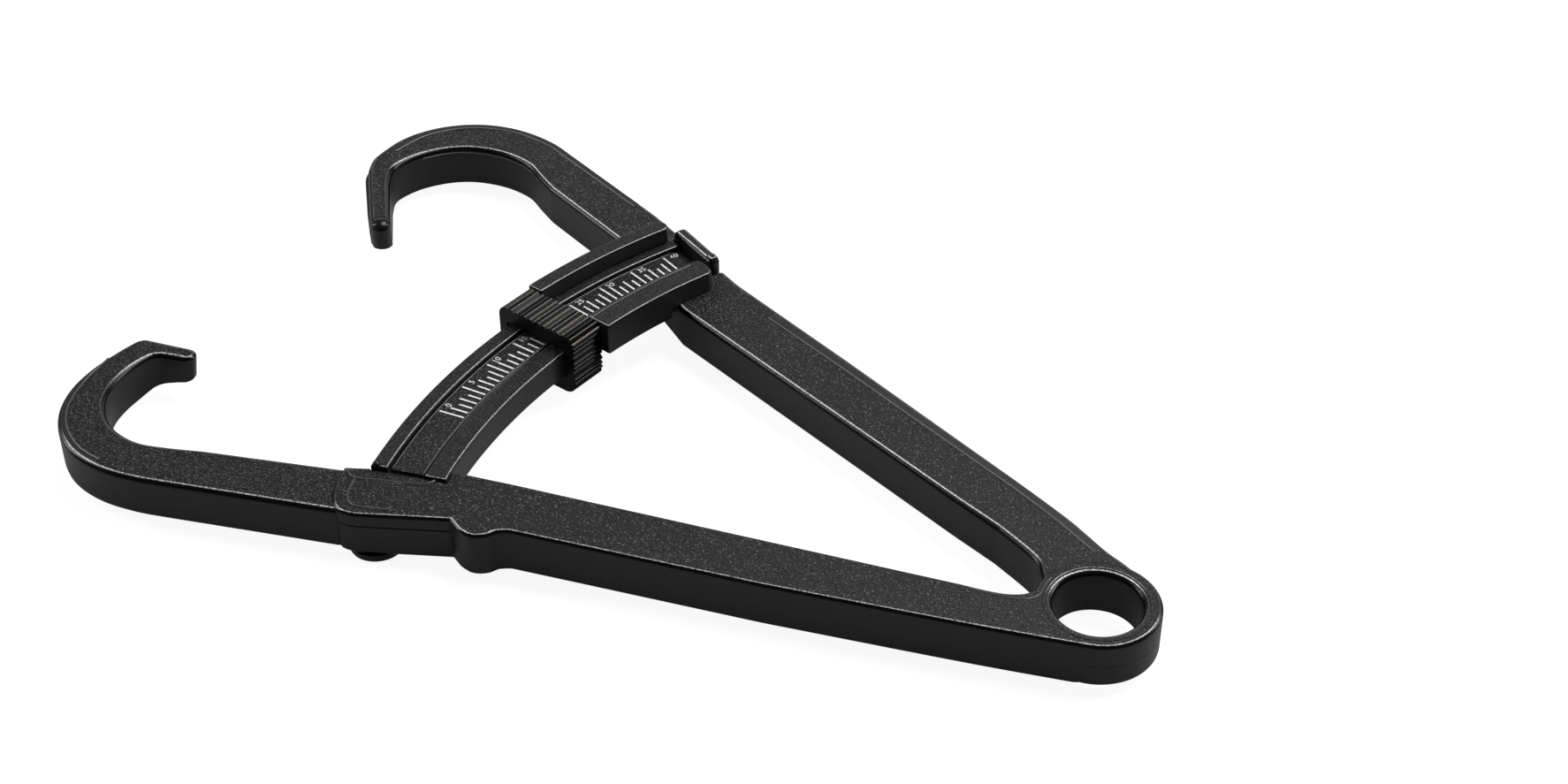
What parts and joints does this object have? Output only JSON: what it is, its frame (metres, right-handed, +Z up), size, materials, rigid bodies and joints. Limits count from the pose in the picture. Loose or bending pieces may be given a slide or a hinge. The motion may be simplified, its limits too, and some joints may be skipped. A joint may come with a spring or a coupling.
{
  "type": "skinfold caliper",
  "caption": "Skinfold caliper with hooked plastic arms on an open hinge ring, a curved scale, guide rails and a ribbed slider that keeps the reading.",
  "frame": {"origin": "on the plane that the caliper lies on, under the centre of its box with the arms fully open", "axes": "+X from the jaws to the hinge ring, +Y from the lower arm to the upper arm, +Z up from the lying face to the scale"},
  "size_m": [0.1754, 0.146, 0.0137],
  "materials": {
    "arm_plastic": "fine moulded grain, satin",
    "bush_plastic": "smooth, slightly polished",
    "arc_plastic": "smooth satin",
    "scale_print": "satin black with white printed ticks",
    "slider_plastic": "ribbed, satin",
    "spring_steel": "rolled strip",
    "screw_steel": "dark zinc"
  },
  "bodies": {
    "lower_body": {"lower_arm": "arm_plastic", "hinge_bush": "bush_plastic", "hinge_retaining_ring": "bush_plastic", "scale_arc": "arc_plastic", "scale_strip": "scale_print", "arc_end_stop": "arc_plastic", "arc_stop_screw": "screw_steel", "arc_anchor_pin": "arc_plastic", "anchor_cover": "arm_plastic"},
    "upper_body": {"upper_arm": "arm_plastic", "far_guide_rail": "arc_plastic", "near_guide_rail": "arc_plastic", "rail_screw_1": "screw_steel", "rail_screw_2": "screw_steel", "rail_screw_3": "screw_steel", "rail_screw_4": "screw_steel"},
    "slider_body": {"slider_shell": "slider_plastic", "slider_spring": "spring_steel"}
  },
  "joints": [
    {"name": "arm_hinge", "type": "hinge", "parent": "lower_body", "child": "upper_body", "pos_m": [0.07803, -0.06327, 0.0056], "axis": [0, 0, 1], "range_deg": [0, 16]},
    {"name": "slider_ride", "type": "hinge", "parent": "lower_body", "child": "slider_body", "pos_m": [0.07803, -0.06327, 0.0056], "axis": [0, 0, 1], "range_deg": [0, 16]}
  ],
  "couplings": [
    {"joint": "slider_ride", "follows": "arm_hinge", "ratio": 1}
  ]
}
